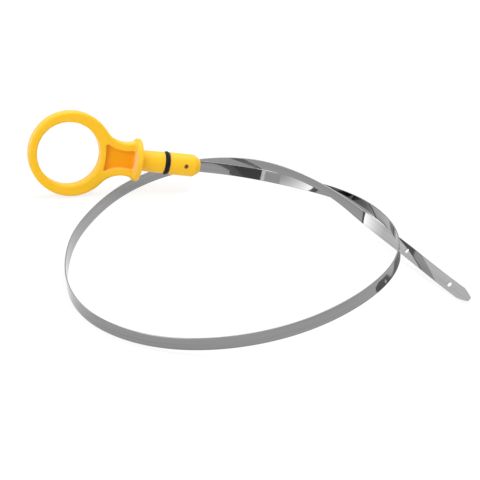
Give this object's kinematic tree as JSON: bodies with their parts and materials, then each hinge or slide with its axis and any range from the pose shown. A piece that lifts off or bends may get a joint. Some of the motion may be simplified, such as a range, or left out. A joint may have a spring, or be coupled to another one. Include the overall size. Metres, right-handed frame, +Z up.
{
  "type": "engine oil dipstick",
  "caption": "Engine oil dipstick: moulded finger-ring handle with ribbed waist, flange and sealed plug stem, and a long spring steel blade coiled on its edge, with gauge holes near its tip.",
  "frame": {"origin": "On the surface that the dipstick lies on, below the middle of the whole part", "axes": "+X from the finger ring towards the tip of the blade, +Y away from the viewer, +Z up"},
  "size_m": [0.2335, 0.2059, 0.0473],
  "materials": {
    "yellow_plastic": "smooth moulded, semi-gloss",
    "seal_rubber": "satin black",
    "spring_steel": "bright rolled, mirror-like",
    "pin_steel": "dark, oiled"
  },
  "bodies": {
    "root": {"handle": "yellow_plastic", "o_ring": "seal_rubber", "blade": "spring_steel", "spring_pin": "pin_steel"}
  },
  "joints": []
}
